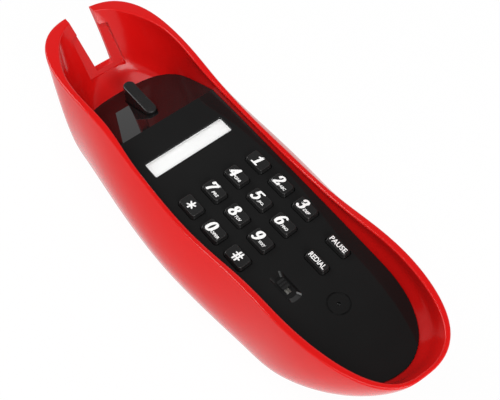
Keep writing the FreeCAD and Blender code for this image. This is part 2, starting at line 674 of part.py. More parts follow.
def make_hook_plunger():
    body = stadium(PLUNGER_X, PLUNGER_LENGTH, PLUNGER_WIDTH, PLUNGER_FOOT, PLUNGER_TOP)
    top_edges = [edge for edge in body.Edges if edge.BoundBox.ZMin > PLUNGER_TOP - 0.01]
    body = body.makeFillet(PLUNGER_EDGE, top_edges)
    grip = 2 * (PLUNGER_GAP + PLUNGER_FLANGE)
    flange = stadium(PLUNGER_X, PLUNGER_LENGTH + grip, PLUNGER_WIDTH + grip, PLUNGER_FOOT, PLUNGER_TOP)
    flange = flange.common(below_panel_line(PANEL_THICK + KEY_FLANGE_DROP))
    tongue = block(tongue_x() - 0.5 * TONGUE_LENGTH, tongue_x() + 0.5 * TONGUE_LENGTH,
                   -0.5 * TONGUE_WIDTH, 0.5 * TONGUE_WIDTH, TONGUE_FOOT, PLUNGER_FOOT + 0.5)
    plunger = body.fuse([flange, tongue])
    bore = disc(PLUNGER_X, 0, PLUNGER_FOOT - CLEAR, SPRING_BORE_TOP, SPRING_BORE)
    return plunger.cut(bore).removeSplitter()


def tongue_x():
    return PLUNGER_X + TONGUE_AHEAD


def make_hook_switch():
    half_x = 0.5 * HOOK_BODY_LENGTH
    half_y = 0.5 * HOOK_BODY_WIDTH
    body = block(PLUNGER_X - half_x, PLUNGER_X + half_x, -half_y, half_y, floor_top, HOOK_BODY_TOP)
    slot_x = 0.5 * TONGUE_LENGTH + PLUNGER_GAP
    slot_y = 0.5 * TONGUE_WIDTH + PLUNGER_GAP
    slot = block(tongue_x() - slot_x, tongue_x() + slot_x, -slot_y, slot_y, floor_top - CLEAR,
                 HOOK_BODY_TOP + CLEAR)
    body = body.cut(slot)
    post_radius = SPRING_OUTER - 2 * SPRING_WIRE - SPRING_POST_GAP
    post = disc(PLUNGER_X, 0, floor_top, HOOK_BODY_TOP + SPRING_POST, post_radius)
    return body.fuse(post).removeSplitter()


def make_hook_spring():
    """One unbroken wire from the hook switch up into the plunger's bore, in quarter-turn arcs."""
    bottom = HOOK_BODY_TOP + SPRING_WIRE
    top = SPRING_BORE_TOP - SPRING_WIRE
    radius = SPRING_OUTER - SPRING_WIRE
    pitch = (top - bottom) / SPRING_TURNS
    quarters = 4 * SPRING_TURNS

    def wire_point(turns):
        angle = 2.0 * math.pi * turns
        return vector(PLUNGER_X + radius * math.cos(angle), radius * math.sin(angle), bottom + pitch * turns)

    edges = []
    for quarter in range(quarters):
        first = wire_point(quarter / 4.0)
        middle = wire_point((quarter + 0.5) / 4.0)
        last = wire_point((quarter + 1) / 4.0)
        edges.append(Part.Arc(first, middle, last).toShape())
    path = Part.Wire(edges)
    start = edges[0].tangentAt(edges[0].FirstParameter)
    section = Part.Wire([Part.makeCircle(SPRING_WIRE, wire_point(0.0), start)])
    spring = path.makePipeShell([section], True, False)
    gap = pitch - 2 * SPRING_WIRE
    print("hook spring: least gap between turns", round(gap, 2), "mm")
    return spring


def scoop():
    """Shallow trough with sloping ends for the slide switch."""
    low = rounded_rectangle(FUNCTION_X, SLIDER_Y, SCOOP_LENGTH - 4 * SCOOP_DEPTH, SCOOP_WIDTH - SCOOP_DEPTH,
                            0.3 * SCOOP_WIDTH, -SCOOP_DEPTH)
    high = rounded_rectangle(FUNCTION_X, SLIDER_Y, SCOOP_LENGTH, SCOOP_WIDTH, 0.3 * SCOOP_WIDTH, 0.0)
    trough = Part.makeLoft([low, high], True, True)
    return trough.fuse(Part.Face(high).extrude(vector(0, 0, CLEAR)))


def slider_slot():
    length = SLIDER_STEM + SLIDER_TRAVEL + 2 * SLIDER_GAP
    half_y = 0.5 * SLIDER_STEM + SLIDER_GAP
    return block(FUNCTION_X - 0.5 * length, FUNCTION_X + 0.5 * length, SLIDER_Y - half_y, SLIDER_Y + half_y,
                 -PANEL_THICK - CLEAR, 0.0)


def slider_rest_x():
    return FUNCTION_X - 0.5 * SLIDER_TRAVEL


def make_slider():
    """Ridged knob over the scoop, with a stem down into the switch body."""
    x = slider_rest_x()
    low = -SCOOP_DEPTH + SLIDER_LIFT
    high = -SCOOP_DEPTH + SLIDER_RISE
    knob = rounded_block(x, SLIDER_Y, SLIDER_LENGTH, SLIDER_WIDTH, SLIDER_CORNER, low, high)
    groove = 0.25 * SLIDER_LENGTH / SLIDER_RIDGES
    for i in range(SLIDER_RIDGES - 1):
        ridge_x = x + (i - 0.5 * (SLIDER_RIDGES - 2)) * SLIDER_LENGTH / SLIDER_RIDGES
        cutter = block(ridge_x - groove, ridge_x + groove, SLIDER_Y - SLIDER_WIDTH, SLIDER_Y + SLIDER_WIDTH,
                       high - SLIDER_GROOVE, high + CLEAR)
        knob = knob.cut(cutter)
    half = 0.5 * SLIDER_STEM
    stem = block(x - half, x + half, SLIDER_Y - half, SLIDER_Y + half, board_top + SLIDER_REACH,
                 0.5 * (low + high))
    return knob.fuse(stem).removeSplitter()


def make_slide_switch():
    """Switch body on the board, with a trough for the slider's stem."""
    length = SLIDER_STEM + SLIDER_TRAVEL + 2 * SWITCH_WALL
    half_y = 0.5 * SLIDER_STEM + SWITCH_WALL
    body = block(FUNCTION_X - 0.5 * length, FUNCTION_X + 0.5 * length, SLIDER_Y - half_y, SLIDER_Y + half_y,
                 board_top, panel_underside - SWITCH_GAP)
    slot_x = 0.5 * (SLIDER_STEM + SLIDER_TRAVEL) + SLIDER_GAP
    slot_y = 0.5 * SLIDER_STEM + SLIDER_GAP
    trough = block(FUNCTION_X - slot_x, FUNCTION_X + slot_x, SLIDER_Y - slot_y, SLIDER_Y + slot_y,
                   board_top + SWITCH_FLOOR, panel_underside + CLEAR)
    return body.cut(trough)


def make_key_mat():
    bottom = board_top
    top = board_top + MAT_THICK
    half_x = PITCH_X + MAT_MARGIN
    half_y = min(1.5 * PITCH_Y + MAT_MARGIN, board_half())
    mat = block(-half_x, half_x, -half_y, half_y, bottom, top)
    tab_low = REDIAL_Y - 0.5 * FUNCTION_WIDTH
    tab_high = PAUSE_Y + 0.5 * FUNCTION_WIDTH
    mat = mat.fuse(block(half_x - CLEAR, FUNCTION_X + MAT_MARGIN, tab_low, tab_high, bottom, top))
    for _, x, y, _, width in key_places():
        radius = min(MAT_DOME_RADIUS, 0.5 * width)
        dome_top = top + MAT_DOME - MAT_DOME_GAP
        dome = Part.makeCone(radius, 0.7 * radius, dome_top - top, vector(x, y, top))
        mat = mat.fuse(dome)
    for x, y in CASE_POST_PLACES:
        mat = mat.cut(disc(x, y, bottom - CLEAR, top + MAT_DOME + CLEAR, CASE_POST_RADIUS + CASE_POST_GAP))
    return mat.removeSplitter()


def make_circuit_board():
    board = block(BOARD_HEEL_X, BOARD_TOE_X, -board_half(), board_half(), board_bottom, board_top)
    for x, y in board_posts():
        radius = BOARD_SCREW_RADIUS + BOARD_SCREW_GAP
        board = board.cut(disc(x, y, board_bottom - CLEAR, board_top + CLEAR, radius))
    for x, y in CASE_POST_PLACES:
        radius = CASE_POST_RADIUS + CASE_POST_GAP
        board = board.cut(disc(x, y, board_bottom - CLEAR, board_top + CLEAR, radius))
    return board


def make_board_screws():
    screws = []
    for x, y in board_posts():
        shank = disc(x, y, board_bottom, board_top + BOARD_SCREW_BITE, BOARD_SCREW_RADIUS)
        head = disc(x, y, board_bottom - BOARD_SCREW_HEAD_THICK, board_bottom, BOARD_SCREW_HEAD)
        screws.append(head.fuse(shank).removeSplitter())
    return Part.makeCompound(screws)


def make_case_screws():
    screws = []
    for x, y in CASE_POST_PLACES:
        shank = disc(x, y, floor_bottom, floor_top + SCREW_BITE, SCREW_RADIUS)
        head = disc(x, y, floor_bottom - SCREW_HEAD_THICK, floor_bottom, SCREW_HEAD_RADIUS)
        low = floor_bottom - SCREW_HEAD_THICK
        for half_x, half_y in ((SCREW_CROSS, SCREW_CROSS_HALF), (SCREW_CROSS_HALF, SCREW_CROSS)):
            cross_top = low + SCREW_CROSS_DEPTH
            head = head.cut(block(x - half_x, x + half_x, y - half_y, y + half_y, low - CLEAR, cross_top))
        screws.append(head.fuse(shank).removeSplitter())
    return Part.makeCompound(screws)


def make_dialler_chip():
    top = board_bottom - CHIP_STANDOFF
    half_x = 0.5 * CHIP_LENGTH
    half_y = 0.5 * CHIP_WIDTH
    legs = []
    for i in range(CHIP_LEGS):
        x = (i - 0.5 * (CHIP_LEGS - 1)) * CHIP_LEG_PITCH
        for side in (-1, 1):
            leg_y = side * (half_y + CHIP_LEG_WIDTH)
            legs.append(block(x - 0.5 * CHIP_LEG_WIDTH, x + 0.5 * CHIP_LEG_WIDTH, leg_y - CHIP_STANDOFF,
                              leg_y + CHIP_STANDOFF, top - 0.5 * CHIP_THICK, board_bottom))
    body = block(-half_x, half_x, -half_y, half_y, top - CHIP_THICK, top)
    return body.fuse(legs).removeSplitter()


def make_line_transformer():
    bottom = board_bottom - TRANSFORMER_HEIGHT
    core = rounded_block(TRANSFORMER_X, TRANSFORMER_Y, TRANSFORMER_LENGTH, TRANSFORMER_WIDTH, COIL_MARGIN / 4,
                         bottom, board_bottom)
    coil = rounded_block(TRANSFORMER_X, TRANSFORMER_Y, COIL_LENGTH, COIL_WIDTH, COIL_MARGIN,
                         bottom + COIL_MARGIN, board_bottom - COIL_MARGIN)
    return core.fuse(coil).removeSplitter()


def make_capacitors():
    cans = []
    for x, y in CAPACITOR_PLACES:
        bottom = board_bottom - CAPACITOR_HEIGHT
        can = disc(x, y, bottom, board_bottom, CAPACITOR_RADIUS)
        lower = [edge for edge in can.Edges if edge.BoundBox.ZMax < bottom + 0.01]
        cans.append(can.makeFillet(CAPACITOR_ROUND, lower))
    return Part.makeCompound(cans)


def make_mic_capsule():
    top = panel_underside - BOOT_FACE
    return disc(MIC_X, 0, top - CAPSULE_THICK, top, CAPSULE_RADIUS)


def make_mic_boot():
    top = panel_underside
    capsule_bottom = top - BOOT_FACE - CAPSULE_THICK
    boot = disc(MIC_X, 0, capsule_bottom - BOOT_BACK, top, CAPSULE_RADIUS + BOOT_WALL)
    boot = boot.cut(disc(MIC_X, 0, capsule_bottom, top - BOOT_FACE, CAPSULE_RADIUS))
    return boot.cut(disc(MIC_X, 0, top - 2 * BOOT_FACE, top + CLEAR, MIC_HOLE))


def make_receiver():
    depth = PANEL_THICK + GASKET_THICK
    cup = disc(0, 0, -RECEIVER_THICK, 0.0, RECEIVER_RADIUS)
    magnet = disc(0, 0, -RECEIVER_THICK - MAGNET_THICK, -RECEIVER_THICK, MAGNET_RADIUS)
    return on_slope(cup.fuse(magnet).removeSplitter(), RECEIVER_X, RECEIVER_Y, depth)


def make_receiver_gasket():
    ring = disc(0, 0, -GASKET_THICK, 0.0, RECEIVER_RADIUS)
    ring = ring.cut(disc(0, 0, -GASKET_THICK - CLEAR, CLEAR, RECEIVER_RADIUS - GASKET_WALL))
    return on_slope(ring, RECEIVER_X, RECEIVER_Y, PANEL_THICK)


def make_receiver_clamp():
    low = -GASKET_THICK - RECEIVER_THICK - CLAMP_GAP - CLAMP_CAP
    skirt = disc(0, 0, low, 0.0, RECEIVER_RADIUS + CLAMP_GAP + CLAMP_WALL)
    skirt = skirt.cut(disc(0, 0, low + CLAMP_CAP, CLEAR, RECEIVER_RADIUS + CLAMP_GAP))
    skirt = skirt.cut(disc(0, 0, low - CLEAR, CLEAR, RECEIVER_RADIUS - CLAMP_LIP))
    return on_slope(skirt, RECEIVER_X, RECEIVER_Y, PANEL_THICK)


def make_ringer_sounder():
    case = disc(SOUNDER_X, 0, floor_top, floor_top + SOUNDER_THICK, SOUNDER_RADIUS)
    return case.cut(disc(SOUNDER_X, 0, floor_top - CLEAR, floor_top + SOUNDER_CHAMBER,
                         SOUNDER_HOLE_RING + 2 * SOUNDER_HOLE))


def make_line_jack():
    x_low = JACK_MOUTH_X
    x_high = JACK_MOUTH_X + JACK_LENGTH
    body = block(x_low, x_high, -0.5 * JACK_WIDTH, 0.5 * JACK_WIDTH, floor_top, jack_top)
    low = floor_top + JACK_WALL
    half = 0.5 * JACK_CAVITY_WIDTH
    cavity = block(x_low - CLEAR, x_low + JACK_CAVITY, -half, half, low, low + JACK_CAVITY_HEIGHT)
    latch_half = 0.3 * JACK_CAVITY_WIDTH
    latch_top = low + JACK_CAVITY_HEIGHT + JACK_WALL
    latch = block(x_low - CLEAR, x_low + JACK_CAVITY, -latch_half, latch_half, low, latch_top)
    return body.cut(cavity).cut(latch)


def frame_shift(rim_shell):
    """Move that brings the rest plane to zero and the middle of the shoe's length over the origin."""
    points, _ = rim_shell.tessellate(0.05)
    ends = [point.x for point in points]
    return vector(-0.5 * (min(ends) + max(ends)), 0.0, REST_DEPTH)


def export(name, shape, shift):
    placed = shape.copy()
    placed.translate(shift)
    placed.exportStep("parts/" + name + ".step")
    box = placed.BoundBox
    print("%-18s solids %d valid %s volume %.0f  x %.1f %.1f  y %.1f %.1f  z %.1f %.1f" % (
        name, len(placed.Solids), placed.isValid(), placed.Volume,
        box.XMin, box.XMax, box.YMin, box.YMax, box.ZMin, box.ZMax))


def main():
    os.makedirs("parts", exist_ok=True)
    rim_shell = make_rim_shell()
    shift = frame_shift(rim_shell)
    print("frame shift x %.3f z %.3f" % (shift.x, shift.z))
    export("rim_shell", rim_shell, shift)
    for name, x, y, length, width in key_places():
        export(name, make_key(x, y, length, width), shift)
    makers = {
        "lower_shell": make_lower_shell,
        "insole_pad": make_insole_pad,
        "key_panel": make_key_panel,
        "label_card": make_label_card,
        "label_cover": make_label_cover,
        "slider": make_slider,
        "slide_switch": make_slide_switch,
        "hook_plunger": make_hook_plunger,
        "hook_spring": make_hook_spring,
        "hook_switch": make_hook_switch,
        "key_mat": make_key_mat,
        "circuit_board": make_circuit_board,
        "board_screws": make_board_screws,
        "case_screws": make_case_screws,
        "dialler_chip": make_dialler_chip,
        "line_transformer": make_line_transformer,
        "capacitors": make_capacitors,
        "mic_capsule": make_mic_capsule,
        "mic_boot": make_mic_boot,
        "receiver": make_receiver,
        "receiver_gasket": make_receiver_gasket,
        "receiver_clamp": make_receiver_clamp,
        "ringer_sounder": make_ringer_sounder,
        "line_jack": make_line_jack,
    }
    for name, maker in makers.items():
        export(name, maker(), shift)


main()
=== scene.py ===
"""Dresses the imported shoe-shaped telephone.

It gives every solid its finish and prints the keys. It adds the contacts of the line jack, the wound
spring, the key mat's domes and the insole pad, and sets up the studio and the camera.
"""

import json
import logging
import math
from dataclasses import dataclass, field
from enum import Enum

import bmesh
import bpy
from mathutils import Matrix, Vector


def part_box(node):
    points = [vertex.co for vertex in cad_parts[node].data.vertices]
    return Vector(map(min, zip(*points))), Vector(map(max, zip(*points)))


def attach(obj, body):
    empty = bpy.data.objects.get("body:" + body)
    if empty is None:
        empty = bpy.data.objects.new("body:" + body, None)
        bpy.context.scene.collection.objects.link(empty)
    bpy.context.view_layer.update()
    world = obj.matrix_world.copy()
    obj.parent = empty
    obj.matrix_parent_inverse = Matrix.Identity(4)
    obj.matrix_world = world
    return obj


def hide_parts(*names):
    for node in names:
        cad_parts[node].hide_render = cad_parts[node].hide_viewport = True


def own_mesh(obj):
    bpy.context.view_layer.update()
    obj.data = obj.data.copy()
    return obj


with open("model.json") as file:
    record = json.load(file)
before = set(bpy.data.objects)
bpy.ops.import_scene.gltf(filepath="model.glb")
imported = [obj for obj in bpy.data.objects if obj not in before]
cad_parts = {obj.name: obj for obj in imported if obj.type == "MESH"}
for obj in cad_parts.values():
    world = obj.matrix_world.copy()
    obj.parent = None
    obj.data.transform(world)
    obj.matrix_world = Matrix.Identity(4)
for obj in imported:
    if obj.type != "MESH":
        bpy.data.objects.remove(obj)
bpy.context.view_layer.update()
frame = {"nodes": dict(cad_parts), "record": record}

log = logging.getLogger("shoe_telephone")

MM = 0.001
ROOT_BODY = "handset"
Colour = tuple[float, float, float]
Point = tuple[float, float]
Place = tuple[float, float, float]
Faces = list[tuple[int, ...]]

# Values between which a noise texture mostly stays, and those between which the colour drifts.
NOISE_SPAN = (0.3, 0.7)
PATCH_SPAN = (0.3, 0.6)
# Size of the patches of uneven gloss, as a share of the colour's patches.
GLOSS_SHARE = 0.4


class Axis(Enum):
    """Direction in which a fibrous or rolled finish runs."""

    LENGTH = (1.0, 40.0, 40.0)
    WIDTH = (40.0, 1.0, 40.0)
    NONE = (1.0, 1.0, 1.0)


@dataclass(frozen=True)
class Finish:
    """A moulded surface: colour with slight drift, uneven gloss and a fine skin texture.

    Attributes:
        name: Name of the material.
        colour: Linear base colour.
        roughness: Mean roughness.
        roughness_swing: How far the roughness strays on each side.
        drift: Share by which the colour darkens in patches.
        patch_size: Size of these patches, in metres.
        grain_size: Size of the skin texture, in metres.
        grain_depth: Depth of the skin texture, in metres.
        ior: Refractive index of the surface.
        metallic: 1 for bare metal.
        sheen: Weight of a fibrous sheen.
        run: Direction in which the texture is drawn out.
    """

    name: str
    colour: Colour
    roughness: float
    roughness_swing: float = 0.04
    drift: float = 0.06
    patch_size: float = 0.03
    grain_size: float = 0.0012
    grain_depth: float = 0.000004
    ior: float = 1.5
    metallic: float = 0.0
    sheen: float = 0.0
    run: Axis = Axis.NONE

    def material(self) -> bpy.types.Material:
        """Make the material, or hand back the one already made.

        Returns:
            The node material.
        """
        title = "finish_" + self.name
        made = bpy.data.materials.get(title)
        if made is not None:
            return made
        made = bpy.data.materials.new(title)
        made.use_nodes = True
        tree = made.node_tree
        shader = tree.nodes["Principled BSDF"]
        shader.inputs["Metallic"].default_value = self.metallic
        shader.inputs["IOR"].default_value = self.ior
        shader.inputs["Sheen Weight"].default_value = self.sheen
        self.link_colour(tree, shader)
        self.link_gloss(tree, shader)
        self.link_grain(tree, shader)
        return made

    def texture(self, tree: bpy.types.NodeTree, size: float, detail: float) -> bpy.types.Node:
        """Add a noise texture in the object's own coordinates.

        Args:
            tree: Node tree of the material.
            size: Size of the noise, in metres.
            detail: How many finer layers it has.

        Returns:
            The noise node.
        """
        place = tree.nodes.new("ShaderNodeTexCoord")
        stretch = tree.nodes.new("ShaderNodeMapping")
        stretch.inputs["Scale"].default_value = self.run.value
        noise = tree.nodes.new("ShaderNodeTexNoise")
        noise.inputs["Scale"].default_value = 1.0 / size
        noise.inputs["Detail"].default_value = detail
        tree.links.new(place.outputs["Object"], stretch.inputs["Vector"])
        tree.links.new(stretch.outputs["Vector"], noise.inputs["Vector"])
        return noise

    def link_colour(self, tree: bpy.types.NodeTree, shader: bpy.types.Node) -> None:
        """Let the colour drift in soft patches.

        Args:
            tree: Node tree of the material.
            shader: Its surface shader.
        """
        noise = self.texture(tree, self.patch_size, 2.0)
        ramp = tree.nodes.new("ShaderNodeValToRGB")
        dark = [channel * (1.0 - self.drift) for channel in self.colour]
        ramp.color_ramp.elements[0].color = (*dark, 1.0)
        ramp.color_ramp.elements[0].position = PATCH_SPAN[0]
        ramp.color_ramp.elements[1].color = (*self.colour, 1.0)
        ramp.color_ramp.elements[1].position = PATCH_SPAN[1]
        tree.links.new(noise.outputs["Fac"], ramp.inputs["Fac"])
        tree.links.new(ramp.outputs["Color"], shader.inputs["Base Color"])

    def link_gloss(self, tree: bpy.types.NodeTree, shader: bpy.types.Node) -> None:
        """Let the roughness stray, as on a handled moulding.

        Args:
            tree: Node tree of the material.
            shader: Its surface shader.
        """
        noise = self.texture(tree, GLOSS_SHARE * self.patch_size, 4.0)
        spread = tree.nodes.new("ShaderNodeMapRange")
        spread.inputs["From Min"].default_value = NOISE_SPAN[0]
        spread.inputs["From Max"].default_value = NOISE_SPAN[1]
        spread.inputs["To Min"].default_value = max(self.roughness - self.roughness_swing, 0.0)
        spread.inputs["To Max"].default_value = self.roughness + self.roughness_swing
        tree.links.new(noise.outputs["Fac"], spread.inputs["Value"])
        tree.links.new(spread.outputs["Result"], shader.inputs["Roughness"])

    def link_grain(self, tree: bpy.types.NodeTree, shader: bpy.types.Node) -> None:
        """Raise the skin texture.

        Args:
            tree: Node tree of the material.
            shader: Its surface shader.
        """
        noise = self.texture(tree, self.grain_size, 3.0)
        bump = tree.nodes.new("ShaderNodeBump")
        bump.inputs["Strength"].default_value = 1.0
        bump.inputs["Distance"].default_value = self.grain_depth
        tree.links.new(noise.outputs["Fac"], bump.inputs["Height"])
        tree.links.new(bump.outputs["Normal"], shader.inputs["Normal"])


@dataclass(frozen=True)
class ClearFinish(Finish):
    """A thin clear sheet, seen only by its reflections."""

    def material(self) -> bpy.types.Material:
        """Make the clear material.

        Returns:
            The node material.
        """
        made = super().material()
        tree = made.node_tree
        skin = tree.nodes["Principled BSDF"]
        glass = tree.nodes.new("ShaderNodeBsdfTransparent")
        edge = tree.nodes.new("ShaderNodeFresnel")
        edge.inputs["IOR"].default_value = self.ior
        mix = tree.nodes.new("ShaderNodeMixShader")
        tree.links.new(edge.outputs["Fac"], mix.inputs["Fac"])
        tree.links.new(glass.outputs["BSDF"], mix.inputs[1])
        tree.links.new(skin.outputs["BSDF"], mix.inputs[2])
        tree.links.new(mix.outputs["Shader"], tree.nodes["Material Output"].inputs["Surface"])
        return made


RED_SHELL = Finish("red_shell", (0.60, 0.0055, 0.005), 0.18, roughness_swing=0.02, drift=0.03,
                   patch_size=0.06, grain_size=0.004, grain_depth=0.000003, ior=1.34)
BLACK_PANEL = Finish("black_panel", (0.0095, 0.0095, 0.0095), 0.02, roughness_swing=0.01, drift=0.15,
                     grain_size=0.006, grain_depth=0.0000005, ior=1.32)
BLACK_KEYS = Finish("black_keys", (0.012, 0.012, 0.012), 0.26, drift=0.15, grain_size=0.0004,
                    grain_depth=0.000004, ior=1.45)
WHITE_PRINT = Finish("white_print", (0.86, 0.86, 0.85), 0.5, drift=0.05, patch_size=0.002, grain_size=0.0003)
CARD = Finish("card", (0.97, 0.97, 0.965), 0.75, drift=0.03, grain_size=0.0004, grain_depth=0.00001)
CLEAR_COVER = ClearFinish("clear_cover", (1.0, 1.0, 1.0), 0.02, roughness_swing=0.01, drift=0.0, ior=1.2)
INSOLE = Finish("insole", (0.020, 0.019, 0.019), 0.9, drift=0.3, patch_size=0.004, grain_size=0.0005,
                grain_depth=0.0001, sheen=0.4)
WHITE_PLASTIC = Finish("white_plastic", (0.62, 0.61, 0.57), 0.42)
STEEL = Finish("steel", (0.56, 0.56, 0.57), 0.28, metallic=1.0, grain_size=0.002, grain_depth=0.00001,
               run=Axis.WIDTH)
GREY_RUBBER = Finish("grey_rubber", (0.09, 0.09, 0.09), 0.7, grain_size=0.0006, grain_depth=0.00002)
BOARD = Finish("board", (0.23, 0.13, 0.05), 0.5, drift=0.25, patch_size=0.004, run=Axis.LENGTH)
CHIP = Finish("chip", (0.02, 0.02, 0.021), 0.55, grain_size=0.0003, grain_depth=0.00002)
IRON = Finish("iron", (0.10, 0.085, 0.08), 0.5, metallic=0.6, drift=0.4, patch_size=0.003, run=Axis.LENGTH)
CAN = Finish("can", (0.60, 0.60, 0.61), 0.3, metallic=1.0, run=Axis.WIDTH)
JACK = Finish("jack", (0.03, 0.03, 0.03), 0.4, grain_size=0.0005, grain_depth=0.00001)
GOLD = Finish("gold", (0.80, 0.55, 0.20), 0.25, metallic=1.0)
SLOT_FINISHES = {
    finish.name: finish
    for finish in (RED_SHELL, BLACK_PANEL, BLACK_KEYS, CARD, CLEAR_COVER, INSOLE, WHITE_PLASTIC, STEEL,
                   GREY_RUBBER, BOARD, CHIP, IRON, CAN, JACK)
}


def slot_of(node: str) -> str:
    """Name the record's material slot of a node.

    Args:
        node: Name of the node.

    Returns:
        The slot's name.
    """
    return next(part["material_slot"] for part in frame["record"]["subparts"] if part["node"] == node)


def is_key(node: str) -> bool:
    """Tell whether a node is one of the keys."""
    return node.startswith("key_") and node not in ("key_panel", "key_mat")


def dress_node(node: str, finish: Finish) -> None:
    """Give a carried-over solid its finish.

    Args:
        node: Name of the node.
        finish: The finish that it gets.
    """
    mesh = frame["nodes"][node].data
    mesh.materials.clear()
    mesh.materials.append(finish.material())
    log.info("dressed %s in %s", node, finish.name)


def add_mesh(name: str, points: list[Vector], faces: Faces, finish: Finish, body: str) -> bpy.types.Object:
    """Make a mesh piece that moves with a body.

    Args:
        name: Name of the piece.
        points: Its points, in metres.
        faces: Its faces, as point numbers.
        finish: Its finish.
        body: The body that carries it.

    Returns:
        The new object.
    """
    mesh = bpy.data.meshes.new(name)
    mesh.from_pydata(points, [], faces)
    mesh.materials.append(finish.material())
    mesh.validate()
    piece = bpy.data.objects.new(name, mesh)
    bpy.context.scene.collection.objects.link(piece)
    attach(piece, body)
    log.info("built %s on %s", name, body)
    return piece


@dataclass
class PanelPlace:
    """Where the flat of the key panel lies: its origin is the middle of the dial keys.

    Attributes:
        origin: The origin in the frame, in metres.
    """

    origin: Vector = field(default_factory=Vector)

    @classmethod
    def from_frame(cls) -> "PanelPlace":
        """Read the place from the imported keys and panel.

        Returns:
            The place.
        """
        first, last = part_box("key_1"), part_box("key_hash")
        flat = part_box("key_panel")[1][2]
        middle = [0.5 * (first[0][axis] + last[1][axis]) for axis in (0, 1)]
        return cls(Vector((middle[0], middle[1], flat)))

    def at(self, x: float, y: float, z: float) -> Vector:
        """Turn millimetres on the panel into a point of the frame.

        Args:
            x: Distance towards the toe.
            y: Distance across.
            z: Height above the flat.

        Returns:
            The point, in metres.
        """
        return self.origin + Vector((x, y, z)) * MM


@dataclass(frozen=True)
class PenGlyph:
    """A character drawn with a broad pen, in a box one unit high.

    Attributes:
        strokes: Each stroke's points; a stroke bends smoothly through them.
    """

    strokes: tuple[tuple[Point, ...], ...]


# The nine is the six turned half round about this point.
SIX_CENTRE = (0.29, 0.495)
SIX = ((0.52, 0.90), (0.36, 0.96), (0.16, 0.76), (0.06, 0.38), (0.14, 0.08), (0.31, 0.02), (0.50, 0.14),
       (0.52, 0.40), (0.36, 0.55), (0.17, 0.47), (0.09, 0.30))
# The star's three bars: half their spread across and upwards, and their directions.
STAR_REACH = (0.30, 0.34)
STAR_TURNS = (math.radians(90.0), math.radians(30.0), math.radians(150.0))
GLYPHS: dict[str, PenGlyph] = {
    "1": PenGlyph((((0.34, 0.03), (0.34, 0.96)), ((0.36, 0.95), (0.24, 0.84), (0.10, 0.80)),
                   ((0.08, 0.03), (0.60, 0.03)))),
    "2": PenGlyph((((0.08, 0.72), (0.13, 0.90), (0.30, 0.97), (0.48, 0.88), (0.50, 0.70), (0.36, 0.44),
                    (0.07, 0.06)),
                   ((0.05, 0.07), (0.30, 0.07), (0.54, 0.08)), ((0.54, 0.06), (0.60, 0.24)))),
    "3": PenGlyph((((0.08, 0.78), (0.18, 0.94), (0.38, 0.95), (0.49, 0.80), (0.42, 0.60), (0.20, 0.52)),
                   ((0.20, 0.53), (0.44, 0.48), (0.53, 0.28), (0.42, 0.07), (0.20, 0.02), (0.05, 0.14)))),
    "4": PenGlyph((((0.46, 0.97), (0.04, 0.30)), ((0.02, 0.28), (0.62, 0.28)), ((0.46, 0.97), (0.46, 0.02)))),
    "5": PenGlyph((((0.17, 0.93), (0.58, 0.95)), ((0.17, 0.94), (0.12, 0.56)),
                   ((0.12, 0.56), (0.30, 0.62), (0.50, 0.50), (0.51, 0.26), (0.36, 0.06), (0.16, 0.02),
                    (0.04, 0.13)))),
    "6": PenGlyph((SIX,)),
    "7": PenGlyph((((0.08, 0.92), (0.60, 0.94)), ((0.60, 0.95), (0.42, 0.62), (0.28, 0.30), (0.22, 0.02)),
                   ((0.09, 0.95), (0.05, 0.74)))),
    "8": PenGlyph((((0.30, 0.54), (0.13, 0.68), (0.13, 0.88), (0.30, 0.97), (0.46, 0.88), (0.46, 0.70),
                    (0.30, 0.54), (0.10, 0.38), (0.06, 0.16), (0.28, 0.02), (0.50, 0.13), (0.51, 0.36),
                    (0.30, 0.54)),)),
    "9": PenGlyph((tuple((2.0 * SIX_CENTRE[0] - x, 2.0 * SIX_CENTRE[1] - y) for x, y in SIX),)),
    "0": PenGlyph((((0.29, 0.97), (0.11, 0.84), (0.05, 0.50), (0.11, 0.15), (0.29, 0.02), (0.47, 0.16),
                    (0.53, 0.50), (0.47, 0.85), (0.29, 0.97)),)),
    "star": PenGlyph(tuple(((0.30 - STAR_REACH[0] * math.cos(turn), 0.5 - STAR_REACH[1] * math.sin(turn)),
                            (0.30 + STAR_REACH[0] * math.cos(turn), 0.5 + STAR_REACH[1] * math.sin(turn)))
                           for turn in STAR_TURNS)),
    "hash": PenGlyph((((0.20, 0.10), (0.20, 0.90)), ((0.44, 0.10), (0.44, 0.90)),
                      ((0.00, 0.36), (0.64, 0.36)), ((0.00, 0.64), (0.64, 0.64)))),
}


